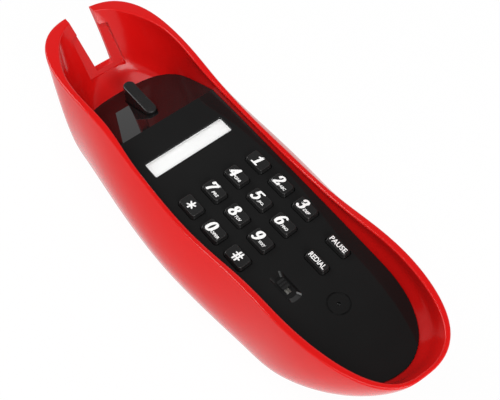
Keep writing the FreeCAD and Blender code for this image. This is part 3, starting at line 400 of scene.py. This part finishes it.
@dataclass
class Lettering:
    """Raised white print on the keys.

    Attributes:
        lift: Height of the print above the key, in millimetres.
        rise: Further height gained along a stroke, so that crossings never lie in one plane.
        nib: Half width and half thickness of the pen, in units of the character's height.
        slant: How far the top of a character leans forward.
        swell: How far the outline of the plain capitals is set outwards.
        steps: Pieces between two points of a stroke.
        cap: Rounding of a stroke's end, outermost first: reach and width, as shares of the pen's.
        middle: Middle of a character's width, in units of its height.
        curve_steps: Pieces in a curve of the plain capitals.
    """

    lift: float = 0.03
    rise: float = 0.02
    nib: Point = (0.135, 0.072)
    slant: float = 0.20
    swell: float = 0.03
    steps: int = 8
    cap: tuple[Point, ...] = ((0.9, 0.35), (0.5, 0.85))
    middle: float = 0.3
    curve_steps: int = 3

    def stroke_line(self, stroke: tuple[Point, ...]) -> list[Vector]:
        """Run a smooth line through a stroke's points.

        Args:
            stroke: The stroke's points.

        Returns:
            Points along the line.
        """
        knots = [Vector(point) for point in stroke]
        closed = stroke[0] == stroke[-1]
        before = knots[-2] if closed else 2.0 * knots[0] - knots[1]
        after = knots[1] if closed else 2.0 * knots[-1] - knots[-2]
        knots = [before, *knots, after]
        line = []
        for index in range(1, len(knots) - 2):
            near, start, end, far = knots[index - 1:index + 3]
            for step in range(self.steps):
                t = step / self.steps
                square = 2.0 * near - 5.0 * start + 4.0 * end - far
                cube = 3.0 * start - near - 3.0 * end + far
                line.append(0.5 * (2.0 * start + (end - near) * t + square * t ** 2 + cube * t ** 3))
        line.append(knots[-2])
        return line

    def reach(self, across: Vector) -> float:
        """Half width of the pen's line in a direction.

        Args:
            across: Unit direction across the line.

        Returns:
            The half width.
        """
        return math.hypot(self.nib[0] * across.x, self.nib[1] * across.y)

    def ribbon(self, stroke: tuple[Point, ...]) -> tuple[list[Vector], Faces]:
        """Turn a stroke into a ribbon of quads with rounded ends.

        Args:
            stroke: The stroke's points.

        Returns:
            The ribbon's points, with their place along the stroke as z, and its faces.
        """
        line = self.stroke_line(stroke)
        points: list[Vector] = []
        last = len(line) - 1
        for index, here in enumerate(line):
            along = (line[min(index + 1, last)] - line[max(index - 1, 0)]).normalized()
            across = Vector((-along.y, along.x))
            half = self.reach(across)
            cap = self.reach(along)
            ends = [(here, half)]
            if index == 0:
                ends = [(here - along * reach * cap, width * half) for reach, width in self.cap] + ends
            if index == last:
                ends += [(here + along * reach * cap, width * half) for reach, width in reversed(self.cap)]
            for centre, width in ends:
                for side in (1.0, -1.0):
                    edge = centre + across * width * side
                    points.append(Vector((edge.x, edge.y, index / last)))
        faces = [(i, i + 1, i + 3, i + 2) for i in range(0, len(points) - 2, 2)]
        return points, faces

    def draw(self, glyph: PenGlyph, place: Vector, height: float) -> tuple[list[Vector], Faces]:
        """Draw a character on a level surface.

        Args:
            glyph: The character.
            place: Middle of the character on the surface, in metres.
            height: Height of the character, in millimetres.

        Returns:
            Points and faces of the print.
        """
        points: list[Vector] = []
        faces: Faces = []
        for layer, stroke in enumerate(glyph.strokes):
            ribbon, quads = self.ribbon(stroke)
            first = len(points)
            for point in ribbon:
                x = (point.x - self.middle + self.slant * (point.y - 0.5)) * height
                y = (point.y - 0.5) * height
                z = self.lift + self.rise * (layer + point.z)
                points.append(place + Vector((x, y, z)) * MM)
            faces += [tuple(first + corner for corner in quad) for quad in quads]
        return points, faces

    def write(self, name: str, words: str, place: Vector, height: float, width: float, slant: float,
              body: str) -> None:
        """Write plain capitals on a level surface.

        Args:
            name: Name of the piece.
            words: The letters.
            place: Their middle on the surface, in metres.
            height: Height of the capitals, in millimetres.
            width: Width of the whole word, in millimetres.
            slant: Lean of the letters.
            body: The body that carries them.
        """
        text = bpy.data.curves.new(name, "FONT")
        text.body = words
        text.shear = slant
        text.offset = self.swell
        text.resolution_u = self.curve_steps
        holder = bpy.data.objects.new(name, text)
        bpy.context.scene.collection.objects.link(holder)
        bpy.context.view_layer.update()
        mesh = bpy.data.meshes.new_from_object(holder.evaluated_get(bpy.context.evaluated_depsgraph_get()))
        bpy.data.objects.remove(holder)
        spots = [vertex.co.copy() for vertex in mesh.vertices]
        low = Vector((min(spot.x for spot in spots), min(spot.y for spot in spots)))
        high = Vector((max(spot.x for spot in spots), max(spot.y for spot in spots)))
        scale = Vector((width / (high.x - low.x), height / (high.y - low.y)))
        points = []
        for spot in spots:
            x = (spot.x - 0.5 * (low.x + high.x)) * scale.x
            y = (spot.y - 0.5 * (low.y + high.y)) * scale.y
            points.append(place + Vector((x, y, self.lift)) * MM)
        faces = [tuple(polygon.vertices) for polygon in mesh.polygons]
        bpy.data.meshes.remove(mesh)
        piece = add_mesh(name, points, faces, WHITE_PRINT, body)


@dataclass
class Keypad:
    """The dial keys and the two function keys with their print.

    Attributes:
        letters: Letter group beside each figure.
        figure_height: Height of a figure, in millimetres.
        figure_place: Middle of a figure from the middle of its key.
        symbol_height: Height of the star and the hash.
        letter_height: Height of the small letters.
        letter_place: Middle of the letters from the middle of the key.
        letter_pitch: Width that one small letter takes.
        letter_slant: Lean of the small letters.
        word_height: Height of the words on the function keys.
        word_width: Their width.
        lettering: Pen for the figures and their letters.
        symbols: Finer pen for the star, the hash and the words.
    """

    letters: dict[str, str] = field(default_factory=lambda: {
        "1": "", "2": "ABC", "3": "DEF", "4": "GHI", "5": "JKL", "6": "MNO", "7": "PRS", "8": "TUV",
        "9": "WXY", "0": "OPER", "star": "", "hash": ""})
    figure_height: float = 4.9
    figure_place: Point = (-1.7, 0.35)
    symbol_height: float = 5.3
    letter_height: float = 1.35
    letter_place: Point = (1.9, -1.1)
    letter_pitch: float = 1.15
    letter_slant: float = 0.2
    word_height: float = 2.3
    word_width: float = 8.6
    lettering: Lettering = field(default_factory=Lettering)
    symbols: Lettering = field(default_factory=lambda: Lettering(nib=(0.075, 0.058), slant=0.12, swell=0.022))

    def top_of(self, node: str) -> Vector:
        """Middle of a key's top face.

        Args:
            node: Name of the key's node.

        Returns:
            The point, in metres.
        """
        low, high = (Vector(corner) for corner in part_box(node))
        return Vector((0.5 * (low.x + high.x), 0.5 * (low.y + high.y), high.z))

    def figure(self, mark: str) -> None:
        """Print a key's figure and letters.

        Args:
            mark: The key's figure, or the word star or hash.
        """
        node = "key_" + mark
        body = node + "_body"
        top = self.top_of(node)
        symbol = mark in ("star", "hash")
        centred = symbol or mark == "1"
        height = self.symbol_height if symbol else self.figure_height
        shift = Vector((0.0, 0.0, 0.0)) if centred else Vector((*self.figure_place, 0.0)) * MM
        pen = self.symbols if symbol else self.lettering
        points, faces = pen.draw(GLYPHS[mark], top + shift, height)
        print_piece = add_mesh("print_" + mark, points, faces, WHITE_PRINT, body)
        if self.letters[mark]:
            spot = top + Vector((*self.letter_place, 0.0)) * MM
            width = self.letter_pitch * len(self.letters[mark])
            self.lettering.write("letters_" + mark, self.letters[mark], spot, self.letter_height, width,
                                 self.letter_slant, body)

    def build(self) -> None:
        """Dress every key and print it."""
        for mark in self.letters:
            dress_node("key_" + mark, BLACK_KEYS)
            self.figure(mark)
        for word in ("pause", "redial"):
            node = "key_" + word
            dress_node(node, BLACK_KEYS)
            self.symbols.write("print_" + word, word.upper(), self.top_of(node), self.word_height,
                               self.word_width, 0.0, node + "_body")


@dataclass
class LineSocket:
    """The line jack in the heel, with its sprung contacts.

    Attributes:
        contacts: Number of contact wires.
        pitch: Distance between two wires, in millimetres.
        wire: Radius of a wire.
        roof: Top of the jack down to the wires.
        route: Control points of a wire: distance behind the jack's face and drop below the roof.
        roundness: How finely a wire's section is rounded.
        order: How softly a wire bends between its control points.
    """

    contacts: int = 4
    pitch: float = 1.02
    wire: float = 0.22
    roof: float = 2.7
    route: tuple[Point, ...] = ((8.6, 0.0), (4.9, 0.4), (1.2, 0.9), (1.6, 2.2), (7.1, 3.6))
    roundness: int = 3
    order: int = 3

    def contact(self, number: int) -> None:
        """Build one bent contact wire.

        Args:
            number: Which wire it is, from one side.
        """
        low, high = (Vector(corner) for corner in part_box("line_jack"))
        y = (number - 0.5 * (self.contacts - 1)) * self.pitch * MM
        roof = high.z - self.roof * MM
        route = [Vector((low.x + behind * MM, y, roof - drop * MM)) for behind, drop in self.route]
        curve = bpy.data.curves.new("contact_%d" % number, "CURVE")
        curve.dimensions = "3D"
        curve.bevel_depth = self.wire * MM
        curve.bevel_resolution = self.roundness
        spline = curve.splines.new("NURBS")
        spline.points.add(len(route) - 1)
        for point, spot in zip(spline.points, route):
            point.co = (*spot, 1.0)
        spline.order_u = self.order
        spline.use_endpoint_u = True
        curve.materials.append(GOLD.material())
        piece = bpy.data.objects.new("contact_%d" % number, curve)
        bpy.context.scene.collection.objects.link(piece)
        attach(piece, ROOT_BODY)
        log.info("built contact %d", number)

    def build(self) -> None:
        """Dress the jack and fit its contacts."""
        dress_node("line_jack", JACK)
        for number in range(self.contacts):
            self.contact(number)


@dataclass
class HookSpring:
    """The coil spring under the hook plunger.

    Attributes:
        turns: Number of turns.
        outer: Outer radius of the coil, in millimetres.
        wire: Radius of its wire.
        steps: Pieces in one turn.
        sides: Sides of the wire.
        travel: How far the plunger presses it; not used.
    """

    turns: int = 9
    outer: float = 1.9
    wire: float = 0.25
    steps: int = 28
    sides: int = 10
    travel: float = 4.5

    def build(self) -> None:
        """Wind the coil in the place of the plain spring."""
        low, high = (Vector(corner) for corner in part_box("hook_spring"))
        foot = Vector((0.5 * (low.x + high.x), 0.5 * (low.y + high.y), low.z))
        length = high.z - low.z
        climb = length - 2.0 * self.wire * MM
        count = self.turns * self.steps
        points: list[Vector] = []
        for step in range(count + 1):
            turn = 2.0 * math.pi * step / self.steps
            outward = Vector((math.cos(turn), math.sin(turn), 0.0))
            centre = foot + outward * (self.outer - self.wire) * MM
            centre.z += self.wire * MM + climb * step / count
            for side in range(self.sides):
                lean = 2.0 * math.pi * side / self.sides
                around = outward * math.cos(lean) + Vector((0.0, 0.0, math.sin(lean)))
                points.append(centre + around * self.wire * MM)
        end = len(points) - 1
        faces: Faces = [tuple(range(self.sides)), tuple(range(end, end - self.sides, -1))]
        for step in range(count):
            for side in range(self.sides):
                here = step * self.sides + side
                beside = step * self.sides + (side + 1) % self.sides
                faces.append((here, here + self.sides, beside + self.sides, beside))
        coil = add_mesh("spring_coil", points, faces, STEEL, ROOT_BODY)
        for polygon in coil.data.polygons:
            polygon.use_smooth = True
        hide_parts("hook_spring")
        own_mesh(coil)


@dataclass
class KeyMat:
    """The rubber mat under the keys: a flat web, and a dome for each key.

    Attributes:
        dome_height: Height of a dome over the web, in millimetres.
        dial_radius: Radius of a dome under a dial key.
        function_radius: Radius of a dome under a function key.
        top_share: Radius of a dome's top, as a share of its radius.
        edge: Rounding of the top's edge.
        bend_share: Place of the bend in that rounding, as a share of it.
        sides: Sides of a dome.
        keep: Share of its height that a dome keeps when pressed; not used.
        trim: How far under the web's top the domes are cut off.
        merge: Distance under which points of the copied mat are one.
    """

    dome_height: float = 1.15
    dial_radius: float = 2.6
    function_radius: float = 2.4
    top_share: float = 0.7
    edge: float = 0.25
    bend_share: float = 0.3
    sides: int = 40
    keep: float = 0.15
    trim: float = 0.01
    merge: float = 0.001

    def web(self) -> float:
        """Cut the domes off a copy of the mat and close the web.

        Returns:
            Height of the web's top, in metres.
        """
        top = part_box("key_mat")[1][2] - self.dome_height * MM
        sheet = bmesh.new()
        sheet.from_mesh(frame["nodes"]["key_mat"].data)
        bmesh.ops.remove_doubles(sheet, verts=sheet.verts, dist=self.merge * MM)
        level = (0.0, 0.0, top - self.trim * MM)
        cut = bmesh.ops.bisect_plane(sheet, geom=[*sheet.verts, *sheet.edges, *sheet.faces], plane_co=level,
                                     plane_no=(0.0, 0.0, 1.0), clear_outer=True)
        rims = [item for item in cut["geom_cut"] if isinstance(item, bmesh.types.BMEdge)]
        bmesh.ops.triangle_fill(sheet, edges=rims, use_beauty=True, normal=(0.0, 0.0, 1.0))
        bmesh.ops.recalc_face_normals(sheet, faces=sheet.faces)
        sheet.verts.index_update()
        points = [vertex.co.copy() for vertex in sheet.verts]
        faces = [tuple(vertex.index for vertex in face.verts) for face in sheet.faces]
        sheet.free()
        piece = add_mesh("mat_web", points, faces, GREY_RUBBER, ROOT_BODY)
        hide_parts("key_mat")
        return top

    def dome(self, key: str, radius: float, top: float) -> None:
        """Set up the dome under a key.

        Args:
            key: Name of the key's node.
            radius: Radius of the dome, in millimetres.
            top: Height of the web's top, in metres.
        """
        low, high = (Vector(corner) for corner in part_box(key))
        foot = Vector((0.5 * (low.x + high.x), 0.5 * (low.y + high.y), top))
        crown = self.top_share * radius
        bend = self.bend_share * self.edge
        profile = ((radius, 0.0), (crown + bend, self.dome_height - self.edge),
                   (crown - bend, self.dome_height - bend), (crown - self.edge, self.dome_height))
        points = []
        for reach, height in profile:
            for side in range(self.sides):
                turn = 2.0 * math.pi * side / self.sides
                points.append(foot + Vector((reach * math.cos(turn), reach * math.sin(turn), height)) * MM)
        last = (len(profile) - 1) * self.sides
        faces: Faces = [tuple(range(self.sides - 1, -1, -1)), tuple(range(last, last + self.sides))]
        for ring in range(len(profile) - 1):
            for side in range(self.sides):
                here, beside = ring * self.sides + side, ring * self.sides + (side + 1) % self.sides
                faces.append((here, beside, beside + self.sides, here + self.sides))
        piece = add_mesh("dome_" + key, points, faces, GREY_RUBBER, ROOT_BODY)
        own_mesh(piece)

    def build(self) -> None:
        """Lay the web and stand a dome under each key."""
        top = self.web()
        for key in frame["nodes"]:
            if is_key(key):
                radius = self.function_radius if key in ("key_pause", "key_redial") else self.dial_radius
                self.dome(key, radius, top)


@dataclass
class InsolePad:
    """The felted foam pad on the floor of the foot opening, with soft edges.

    Attributes:
        voxel: Size of its mesh, in millimetres.
        passes: How often its edges are eased.
        ease: Share of each easing.
        fill: How tightly the pad is filled; not used.
    """

    voxel: float = 0.7
    passes: int = 4
    ease: float = 0.5
    fill: float = 1.0

    def build(self) -> None:
        """Lay the pad in the place of the plain solid."""
        pad = bpy.data.objects.new("insole_felt", frame["nodes"]["insole_pad"].data.copy())
        bpy.context.scene.collection.objects.link(pad)
        weld = pad.modifiers.new("weld", "REMESH")
        weld.mode = "VOXEL"
        weld.voxel_size = self.voxel * MM
        soften = pad.modifiers.new("soften", "SMOOTH")
        soften.factor = self.ease
        soften.iterations = self.passes
        bpy.context.view_layer.update()
        mesh = bpy.data.meshes.new_from_object(pad.evaluated_get(bpy.context.evaluated_depsgraph_get()))
        pad.modifiers.clear()
        pad.data = mesh
        mesh.materials.clear()
        mesh.materials.append(INSOLE.material())
        for polygon in mesh.polygons:
            polygon.use_smooth = True
        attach(pad, ROOT_BODY)
        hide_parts("insole_pad")
        log.info("laid the insole pad")


@dataclass
class ShoeCase:
    """The two shells, the panel and everything fixed inside them.

    Attributes:
        loose: Nodes that other classes dress.
    """

    loose: tuple[str, ...] = ("line_jack", "hook_spring", "insole_pad", "key_mat")

    def build(self) -> None:
        """Dress each fixed node by its slot in the record."""
        for node in frame["nodes"]:
            if not is_key(node) and node not in self.loose:
                dress_node(node, SLOT_FINISHES[slot_of(node)])


@dataclass(frozen=True)
class Lamp:
    """A soft square lamp that points at the keypad.

    Attributes:
        name: Name of the lamp.
        place: Where it hangs, from the middle of the keypad, in metres.
        size: Side of its face, in metres.
        power: Its power, in watts.
    """

    name: str
    place: Place
    size: float
    power: float

    def hang(self, middle: Vector) -> None:
        """Hang the lamp.

        Args:
            middle: Middle of the keypad.
        """
        data = bpy.data.lights.new(self.name, "AREA")
        data.size = self.size
        data.energy = self.power
        holder = bpy.data.objects.new(self.name, data)
        holder.location = middle + Vector(self.place)
        holder.rotation_euler = (-Vector(self.place)).to_track_quat("-Z", "Y").to_euler()
        bpy.context.scene.collection.objects.link(holder)


@dataclass
class Studio:
    """Floor, light and camera.

    Attributes:
        azimuth: Camera's direction round the object, in degrees.
        elevation: Its height over the horizon, in degrees.
        roll: Its tilt, in degrees.
        target: Point of the panel's flat that it turns about, in millimetres.
        distance: Its distance from that point, in millimetres.
        focal_pixels: Its focal length in pixels of the picture.
        picture_width: Width of the picture, in pixels.
        sensor: Width of the sensor, in millimetres.
        nearest: Nearest distance that it sees, in metres.
        floor_size: Side of the floor, in metres.
        floor_tone: Its shade of grey, as lit.
        floor_glow: Share of plain white that the eye sees in it.
        ceiling_light: Brightness of the room overhead.
        horizon_light: Brightness of the room at eye level, as it lights the object.
        backdrop_light: Brightness of the room at eye level, as it is looked at.
        horizon_top: Sine of the angle up to which the horizon's brightness reaches.
        ceiling_start: Sine of the angle from which the ceiling's holds.
        lamps: The lamps.
    """

    azimuth: float = 49.61
    elevation: float = 57.96
    roll: float = 1.27
    target: Place = (-2.82, 3.15, 0.0)
    distance: float = 288.78
    focal_pixels: float = 700.0
    picture_width: float = 500.0
    sensor: float = 36.0
    nearest: float = 0.01
    floor_size: float = 6.0
    floor_tone: float = 0.86
    floor_glow: float = 0.95
    ceiling_light: float = 0.2
    horizon_light: float = 0.85
    backdrop_light: float = 1.0
    horizon_top: float = 0.35
    ceiling_start: float = 0.75
    lamps: tuple[Lamp, ...] = (Lamp("top_lamp", (0.3, -0.25, 1.2), 0.8, 6.0),
                               Lamp("front_lamp", (1.1, -0.2, 0.6), 0.6, 8.8),
                               Lamp("fill_lamp", (-0.9, -0.4, 0.8), 0.6, 6.9))

    def camera(self, panel: PanelPlace) -> None:
        """Stand the camera where the photograph was taken.

        Args:
            panel: Place of the key panel.
        """
        turn, lift = math.radians(self.azimuth), math.radians(self.elevation)
        back = Vector((math.sin(turn) * math.cos(lift), -math.cos(turn) * math.cos(lift), math.sin(lift)))
        right = Vector((0.0, 0.0, 1.0)).cross(back).normalized()
        up = back.cross(right)
        tilt = math.radians(self.roll)
        level = math.cos(tilt) * right + math.sin(tilt) * up
        upright = math.cos(tilt) * up - math.sin(tilt) * right
        data = bpy.data.cameras.new("camera")
        data.sensor_width = self.sensor
        data.sensor_fit = "HORIZONTAL"
        data.lens = self.focal_pixels * self.sensor / self.picture_width
        data.clip_start = self.nearest
        holder = bpy.data.objects.new("camera", data)
        bpy.context.scene.collection.objects.link(holder)
        place = Matrix((level, upright, back)).transposed().to_4x4()
        place.translation = panel.at(*self.target) + back * self.distance * MM
        holder.matrix_world = place
        bpy.context.scene.camera = holder

    def seen(self, tree: bpy.types.NodeTree) -> bpy.types.NodeSocket:
        """Tell what is looked at, also mirrored or through clear plastic, from what only gives light.

        Args:
            tree: Nodes of the floor or of the room.

        Returns:
            A socket that is one for what is looked at.
        """
        path = tree.nodes.new("ShaderNodeLightPath")
        mirrored = tree.nodes.new("ShaderNodeMath")
        mirrored.operation = "MAXIMUM"
        through = tree.nodes.new("ShaderNodeMath")
        through.operation = "MAXIMUM"
        tree.links.new(path.outputs["Is Camera Ray"], mirrored.inputs[0])
        tree.links.new(path.outputs["Is Glossy Ray"], mirrored.inputs[1])
        tree.links.new(mirrored.outputs[0], through.inputs[0])
        tree.links.new(path.outputs["Is Transmission Ray"], through.inputs[1])
        return through.outputs[0]

    def floor(self) -> None:
        """Lay the pale floor, plain white to the eye and still taking a soft shadow."""
        half = 0.5 * self.floor_size
        mesh = bpy.data.meshes.new("floor")
        corners = [(-half, -half, 0.0), (half, -half, 0.0), (half, half, 0.0), (-half, half, 0.0)]
        mesh.from_pydata(corners, [], [(0, 1, 2, 3)])
        paint = bpy.data.materials.new("floor")
        paint.use_nodes = True
        tree = paint.node_tree
        tree.nodes.clear()
        share = tree.nodes.new("ShaderNodeMath")
        share.operation = "MULTIPLY"
        share.inputs[1].default_value = self.floor_glow
        matt = tree.nodes.new("ShaderNodeBsdfDiffuse")
        matt.inputs["Color"].default_value = (self.floor_tone,) * 3 + (1.0,)
        glow = tree.nodes.new("ShaderNodeEmission")
        glow.inputs["Color"].default_value = (1.0, 1.0, 1.0, 1.0)
        mix = tree.nodes.new("ShaderNodeMixShader")
        out = tree.nodes.new("ShaderNodeOutputMaterial")
        tree.links.new(self.seen(tree), share.inputs[0])
        tree.links.new(share.outputs[0], mix.inputs["Fac"])
        tree.links.new(matt.outputs[0], mix.inputs[1])
        tree.links.new(glow.outputs[0], mix.inputs[2])
        tree.links.new(mix.outputs[0], out.inputs["Surface"])
        mesh.materials.append(paint)
        sheet = bpy.data.objects.new("floor", mesh)
        bpy.context.scene.collection.objects.link(sheet)

    def walls(self, tree: bpy.types.NodeTree, height: bpy.types.NodeSocket, horizon: float) -> bpy.types.Node:
        """Grade the room from its horizon up to the ceiling.

        Args:
            tree: Nodes of the room.
            height: Height of the direction that is looked in.
            horizon: Brightness at eye level.

        Returns:
            The background node.
        """
        ramp = tree.nodes.new("ShaderNodeValToRGB")
        ramp.color_ramp.elements[0].position = self.horizon_top
        ramp.color_ramp.elements[0].color = (horizon,) * 3 + (1.0,)
        ramp.color_ramp.elements[1].position = self.ceiling_start
        ramp.color_ramp.elements[1].color = (self.ceiling_light,) * 3 + (1.0,)
        light = tree.nodes.new("ShaderNodeBackground")
        tree.links.new(height, ramp.inputs["Fac"])
        tree.links.new(ramp.outputs["Color"], light.inputs["Color"])
        return light

    def world(self) -> None:
        """Light the room from a pale horizon up to a greyer ceiling, with a white horizon to the eye."""
        room = bpy.data.worlds.new("room")
        bpy.context.scene.world = room
        room.use_nodes = True
        tree = room.node_tree
        tree.nodes.clear()
        place = tree.nodes.new("ShaderNodeTexCoord")
        split = tree.nodes.new("ShaderNodeSeparateXYZ")
        mix = tree.nodes.new("ShaderNodeMixShader")
        out = tree.nodes.new("ShaderNodeOutputWorld")
        tree.links.new(place.outputs["Generated"], split.inputs["Vector"])
        lit = self.walls(tree, split.outputs["Z"], self.horizon_light)
        looked_at = self.walls(tree, split.outputs["Z"], self.backdrop_light)
        tree.links.new(self.seen(tree), mix.inputs["Fac"])
        tree.links.new(lit.outputs["Background"], mix.inputs[1])
        tree.links.new(looked_at.outputs["Background"], mix.inputs[2])
        tree.links.new(mix.outputs["Shader"], out.inputs["Surface"])

    def build(self, panel: PanelPlace) -> None:
        """Set up the whole studio.

        Args:
            panel: Place of the key panel.
        """
        self.camera(panel)
        self.floor()
        self.world()
        for lamp in self.lamps:
            lamp.hang(panel.origin)
        bpy.context.scene.view_settings.view_transform = "Standard"
        log.info("studio ready")


def main() -> None:
    """Build the looks in order."""
    logging.basicConfig(level=logging.INFO, format="%(name)s: %(message)s")
    panel = PanelPlace.from_frame()
    Studio().build(panel)
    ShoeCase().build()
    Keypad().build()
    LineSocket().build()
    HookSpring().build()
    KeyMat().build()
    InsolePad().build()


if __name__ == "__main__":
    main()
